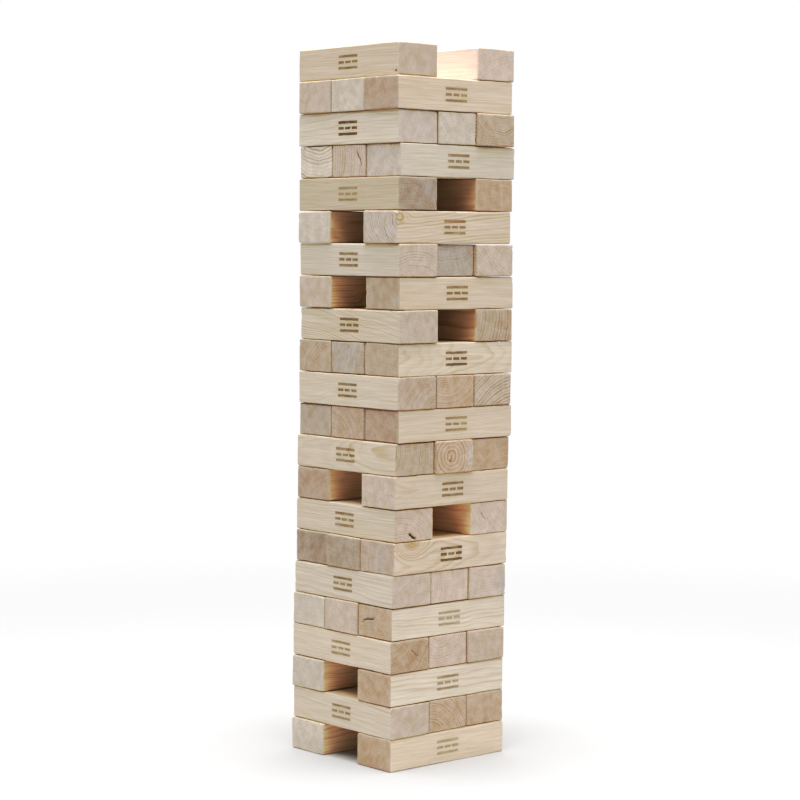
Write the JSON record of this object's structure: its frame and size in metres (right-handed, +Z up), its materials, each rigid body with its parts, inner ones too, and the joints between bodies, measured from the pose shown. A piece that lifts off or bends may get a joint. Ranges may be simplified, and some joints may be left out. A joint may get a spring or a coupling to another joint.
{
  "type": "giant tumbling tower",
  "caption": "Lawn game tower of loose planed softwood blocks stacked crosswise, part-way through a game with middle blocks drawn.",
  "frame": {"origin": "on the ground under the middle of the stack", "axes": "+Z up; -Y is the front face, where odd levels show their ends; +X is the side face, where even levels show their ends"},
  "size_m": [0.1874, 0.1889, 0.8381],
  "materials": {
    "pine_cream": "planed and sanded, unvarnished, worn by play",
    "pine_tan": "planed and sanded, unvarnished, worn by play",
    "pine_pink": "planed and sanded, unvarnished, worn by play",
    "pine_grey": "planed and sanded, unvarnished, worn by play",
    "pine_blue": "planed and sanded, unvarnished, worn by play",
    "pine_gold": "planed and sanded, unvarnished, worn by play",
    "pine_brown": "planed and sanded, unvarnished, worn by play"
  },
  "bodies": {
    "level_01_left": {"level_01_left_block": "pine_cream"},
    "level_01_right": {"level_01_right_block": "pine_gold"},
    "level_02_front": {"level_02_front_block": "pine_pink"},
    "level_02_middle": {"level_02_middle_block": "pine_gold"},
    "level_02_back": {"level_02_back_block": "pine_brown"},
    "level_03_left": {"level_03_left_block": "pine_cream"},
    "level_03_right": {"level_03_right_block": "pine_gold"},
    "level_04_front": {"level_04_front_block": "pine_gold"},
    "level_04_middle": {"level_04_middle_block": "pine_cream"},
    "level_04_back": {"level_04_back_block": "pine_pink"},
    "level_05_left": {"level_05_left_block": "pine_cream"},
    "level_05_middle": {"level_05_middle_block": "pine_pink"},
    "level_05_right": {"level_05_right_block": "pine_tan"},
    "level_06_front": {"level_06_front_block": "pine_pink"},
    "level_06_middle": {"level_06_middle_block": "pine_cream"},
    "level_06_back": {"level_06_back_block": "pine_blue"},
    "level_07_left": {"level_07_left_block": "pine_brown"},
    "level_07_middle": {"level_07_middle_block": "pine_brown"},
    "level_07_right": {"level_07_right_block": "pine_pink"},
    "level_08_front": {"level_08_front_block": "pine_pink"},
    "level_08_back": {"level_08_back_block": "pine_cream"},
    "level_09_left": {"level_09_left_block": "pine_brown"},
    "level_09_right": {"level_09_right_block": "pine_pink"},
    "level_10_front": {"level_10_front_block": "pine_tan"},
    "level_10_middle": {"level_10_middle_block": "pine_gold"},
    "level_10_back": {"level_10_back_block": "pine_tan"},
    "level_11_left": {"level_11_left_block": "pine_grey"},
    "level_11_middle": {"level_11_middle_block": "pine_gold"},
    "level_11_right": {"level_11_right_block": "pine_brown"},
    "level_12_front": {"level_12_front_block": "pine_tan"},
    "level_12_middle": {"level_12_middle_block": "pine_gold"},
    "level_12_back": {"level_12_back_block": "pine_tan"},
    "level_13_left": {"level_13_left_block": "pine_brown"},
    "level_13_middle": {"level_13_middle_block": "pine_blue"},
    "level_13_right": {"level_13_right_block": "pine_tan"},
    "level_14_front": {"level_14_front_block": "pine_pink"},
    "level_14_back": {"level_14_back_block": "pine_gold"},
    "level_15_left": {"level_15_left_block": "pine_pink"},
    "level_15_right": {"level_15_right_block": "pine_tan"},
    "level_16_front": {"level_16_front_block": "pine_pink"},
    "level_16_middle": {"level_16_middle_block": "pine_blue"},
    "level_16_back": {"level_16_back_block": "pine_pink"},
    "level_17_left": {"level_17_left_block": "pine_pink"},
    "level_17_right": {"level_17_right_block": "pine_grey"},
    "level_18_front": {"level_18_front_block": "pine_brown"},
    "level_18_back": {"level_18_back_block": "pine_gold"},
    "level_19_left": {"level_19_left_block": "pine_cream"},
    "level_19_middle": {"level_19_middle_block": "pine_tan"},
    "level_19_right": {"level_19_right_block": "pine_grey"},
    "level_20_front": {"level_20_front_block": "pine_pink"},
    "level_20_middle": {"level_20_middle_block": "pine_grey"},
    "level_20_back": {"level_20_back_block": "pine_gold"},
    "level_21_left": {"level_21_left_block": "pine_tan"},
    "level_21_middle": {"level_21_middle_block": "pine_grey"},
    "level_21_right": {"level_21_right_block": "pine_brown"},
    "level_22_front": {"level_22_front_block": "pine_pink"},
    "level_22_back": {"level_22_back_block": "pine_pink"}
  },
  "joints": [
    {"name": "slide_level_01_right", "type": "slide", "parent": "level_01_left", "child": "level_01_right", "axis": [0, 1, 0], "range_m": [-0.2, 0.2]},
    {"name": "slide_level_02_front", "type": "slide", "parent": "level_01_left", "child": "level_02_front", "axis": [1, 0, 0], "range_m": [-0.2, 0.2]},
    {"name": "slide_level_02_middle", "type": "slide", "parent": "level_01_left", "child": "level_02_middle", "axis": [1, 0, 0], "range_m": [-0.2, 0.2]},
    {"name": "slide_level_02_back", "type": "slide", "parent": "level_01_left", "child": "level_02_back", "axis": [1, 0, 0], "range_m": [-0.2, 0.2]},
    {"name": "slide_level_03_left", "type": "slide", "parent": "level_01_left", "child": "level_03_left", "axis": [0, 1, 0], "range_m": [-0.2, 0.2]},
    {"name": "slide_level_03_right", "type": "slide", "parent": "level_01_left", "child": "level_03_right", "axis": [0, 1, 0], "range_m": [-0.2, 0.2]},
    {"name": "slide_level_04_front", "type": "slide", "parent": "level_01_left", "child": "level_04_front", "axis": [1, 0, 0], "range_m": [-0.2, 0.2]},
    {"name": "slide_level_04_middle", "type": "slide", "parent": "level_01_left", "child": "level_04_middle", "axis": [1, 0, 0], "range_m": [-0.2, 0.2]},
    {"name": "slide_level_04_back", "type": "slide", "parent": "level_01_left", "child": "level_04_back", "axis": [1, 0, 0], "range_m": [-0.2, 0.2]},
    {"name": "slide_level_05_left", "type": "slide", "parent": "level_01_left", "child": "level_05_left", "axis": [0, 1, 0], "range_m": [-0.2, 0.2]},
    {"name": "slide_level_05_middle", "type": "slide", "parent": "level_01_left", "child": "level_05_middle", "axis": [0, 1, 0], "range_m": [-0.2, 0.2]},
    {"name": "slide_level_05_right", "type": "slide", "parent": "level_01_left", "child": "level_05_right", "axis": [0, 1, 0], "range_m": [-0.2, 0.2]},
    {"name": "slide_level_06_front", "type": "slide", "parent": "level_01_left", "child": "level_06_front", "axis": [1, 0, 0], "range_m": [-0.2, 0.2]},
    {"name": "slide_level_06_middle", "type": "slide", "parent": "level_01_left", "child": "level_06_middle", "axis": [1, 0, 0], "range_m": [-0.2, 0.2]},
    {"name": "slide_level_06_back", "type": "slide", "parent": "level_01_left", "child": "level_06_back", "axis": [1, 0, 0], "range_m": [-0.2, 0.2]},
    {"name": "slide_level_07_left", "type": "slide", "parent": "level_01_left", "child": "level_07_left", "axis": [0, 1, 0], "range_m": [-0.2, 0.2]},
    {"name": "slide_level_07_middle", "type": "slide", "parent": "level_01_left", "child": "level_07_middle", "axis": [0, 1, 0], "range_m": [-0.2, 0.2]},
    {"name": "slide_level_07_right", "type": "slide", "parent": "level_01_left", "child": "level_07_right", "axis": [0, 1, 0], "range_m": [-0.2, 0.2]},
    {"name": "slide_level_08_front", "type": "slide", "parent": "level_01_left", "child": "level_08_front", "axis": [1, 0, 0], "range_m": [-0.2, 0.2]},
    {"name": "slide_level_08_back", "type": "slide", "parent": "level_01_left", "child": "level_08_back", "axis": [1, 0, 0], "range_m": [-0.2, 0.2]},
    {"name": "slide_level_09_left", "type": "slide", "parent": "level_01_left", "child": "level_09_left", "axis": [0, 1, 0], "range_m": [-0.2, 0.2]},
    {"name": "slide_level_09_right", "type": "slide", "parent": "level_01_left", "child": "level_09_right", "axis": [0, 1, 0], "range_m": [-0.2, 0.2]},
    {"name": "slide_level_10_front", "type": "slide", "parent": "level_01_left", "child": "level_10_front", "axis": [1, 0, 0], "range_m": [-0.2, 0.2]},
    {"name": "slide_level_10_middle", "type": "slide", "parent": "level_01_left", "child": "level_10_middle", "axis": [1, 0, 0], "range_m": [-0.2, 0.2]},
    {"name": "slide_level_10_back", "type": "slide", "parent": "level_01_left", "child": "level_10_back", "axis": [1, 0, 0], "range_m": [-0.2, 0.2]},
    {"name": "slide_level_11_left", "type": "slide", "parent": "level_01_left", "child": "level_11_left", "axis": [0, 1, 0], "range_m": [-0.2, 0.2]},
    {"name": "slide_level_11_middle", "type": "slide", "parent": "level_01_left", "child": "level_11_middle", "axis": [0, 1, 0], "range_m": [-0.2, 0.2]},
    {"name": "slide_level_11_right", "type": "slide", "parent": "level_01_left", "child": "level_11_right", "axis": [0, 1, 0], "range_m": [-0.2, 0.2]},
    {"name": "slide_level_12_front", "type": "slide", "parent": "level_01_left", "child": "level_12_front", "axis": [1, 0, 0], "range_m": [-0.2, 0.2]},
    {"name": "slide_level_12_middle", "type": "slide", "parent": "level_01_left", "child": "level_12_middle", "axis": [1, 0, 0], "range_m": [-0.2, 0.2]},
    {"name": "slide_level_12_back", "type": "slide", "parent": "level_01_left", "child": "level_12_back", "axis": [1, 0, 0], "range_m": [-0.2, 0.2]},
    {"name": "slide_level_13_left", "type": "slide", "parent": "level_01_left", "child": "level_13_left", "axis": [0, 1, 0], "range_m": [-0.2, 0.2]},
    {"name": "slide_level_13_middle", "type": "slide", "parent": "level_01_left", "child": "level_13_middle", "axis": [0, 1, 0], "range_m": [-0.2, 0.2]},
    {"name": "slide_level_13_right", "type": "slide", "parent": "level_01_left", "child": "level_13_right", "axis": [0, 1, 0], "range_m": [-0.2, 0.2]},
    {"name": "slide_level_14_front", "type": "slide", "parent": "level_01_left", "child": "level_14_front", "axis": [1, 0, 0], "range_m": [-0.2, 0.2]},
    {"name": "slide_level_14_back", "type": "slide", "parent": "level_01_left", "child": "level_14_back", "axis": [1, 0, 0], "range_m": [-0.2, 0.2]},
    {"name": "slide_level_15_left", "type": "slide", "parent": "level_01_left", "child": "level_15_left", "axis": [0, 1, 0], "range_m": [-0.2, 0.2]},
    {"name": "slide_level_15_right", "type": "slide", "parent": "level_01_left", "child": "level_15_right", "axis": [0, 1, 0], "range_m": [-0.2, 0.2]},
    {"name": "slide_level_16_front", "type": "slide", "parent": "level_01_left", "child": "level_16_front", "axis": [1, 0, 0], "range_m": [-0.2, 0.2]},
    {"name": "slide_level_16_middle", "type": "slide", "parent": "level_01_left", "child": "level_16_middle", "axis": [1, 0, 0], "range_m": [-0.2, 0.2]},
    {"name": "slide_level_16_back", "type": "slide", "parent": "level_01_left", "child": "level_16_back", "axis": [1, 0, 0], "range_m": [-0.2, 0.2]},
    {"name": "slide_level_17_left", "type": "slide", "parent": "level_01_left", "child": "level_17_left", "axis": [0, 1, 0], "range_m": [-0.2, 0.2]},
    {"name": "slide_level_17_right", "type": "slide", "parent": "level_01_left", "child": "level_17_right", "axis": [0, 1, 0], "range_m": [-0.2, 0.2]},
    {"name": "slide_level_18_front", "type": "slide", "parent": "level_01_left", "child": "level_18_front", "axis": [1, 0, 0], "range_m": [-0.2, 0.2]},
    {"name": "slide_level_18_back", "type": "slide", "parent": "level_01_left", "child": "level_18_back", "axis": [1, 0, 0], "range_m": [-0.2, 0.2]},
    {"name": "slide_level_19_left", "type": "slide", "parent": "level_01_left", "child": "level_19_left", "axis": [0, 1, 0], "range_m": [-0.2, 0.2]},
    {"name": "slide_level_19_middle", "type": "slide", "parent": "level_01_left", "child": "level_19_middle", "axis": [0, 1, 0], "range_m": [-0.2, 0.2]},
    {"name": "slide_level_19_right", "type": "slide", "parent": "level_01_left", "child": "level_19_right", "axis": [0, 1, 0], "range_m": [-0.2, 0.2]},
    {"name": "slide_level_20_front", "type": "slide", "parent": "level_01_left", "child": "level_20_front", "axis": [1, 0, 0], "range_m": [-0.2, 0.2]},
    {"name": "slide_level_20_middle", "type": "slide", "parent": "level_01_left", "child": "level_20_middle", "axis": [1, 0, 0], "range_m": [-0.2, 0.2]},
    {"name": "slide_level_20_back", "type": "slide", "parent": "level_01_left", "child": "level_20_back", "axis": [1, 0, 0], "range_m": [-0.2, 0.2]},
    {"name": "slide_level_21_left", "type": "slide", "parent": "level_01_left", "child": "level_21_left", "axis": [0, 1, 0], "range_m": [-0.2, 0.2]},
    {"name": "slide_level_21_middle", "type": "slide", "parent": "level_01_left", "child": "level_21_middle", "axis": [0, 1, 0], "range_m": [-0.2, 0.2]},
    {"name": "slide_level_21_right", "type": "slide", "parent": "level_01_left", "child": "level_21_right", "axis": [0, 1, 0], "range_m": [-0.2, 0.2]},
    {"name": "lift_level_22_front", "type": "slide", "parent": "level_01_left", "child": "level_22_front", "axis": [0, 0, 1], "range_m": [0, 0.1]},
    {"name": "lift_level_22_back", "type": "slide", "parent": "level_01_left", "child": "level_22_back", "axis": [0, 0, 1], "range_m": [0, 0.1]}
  ]
}
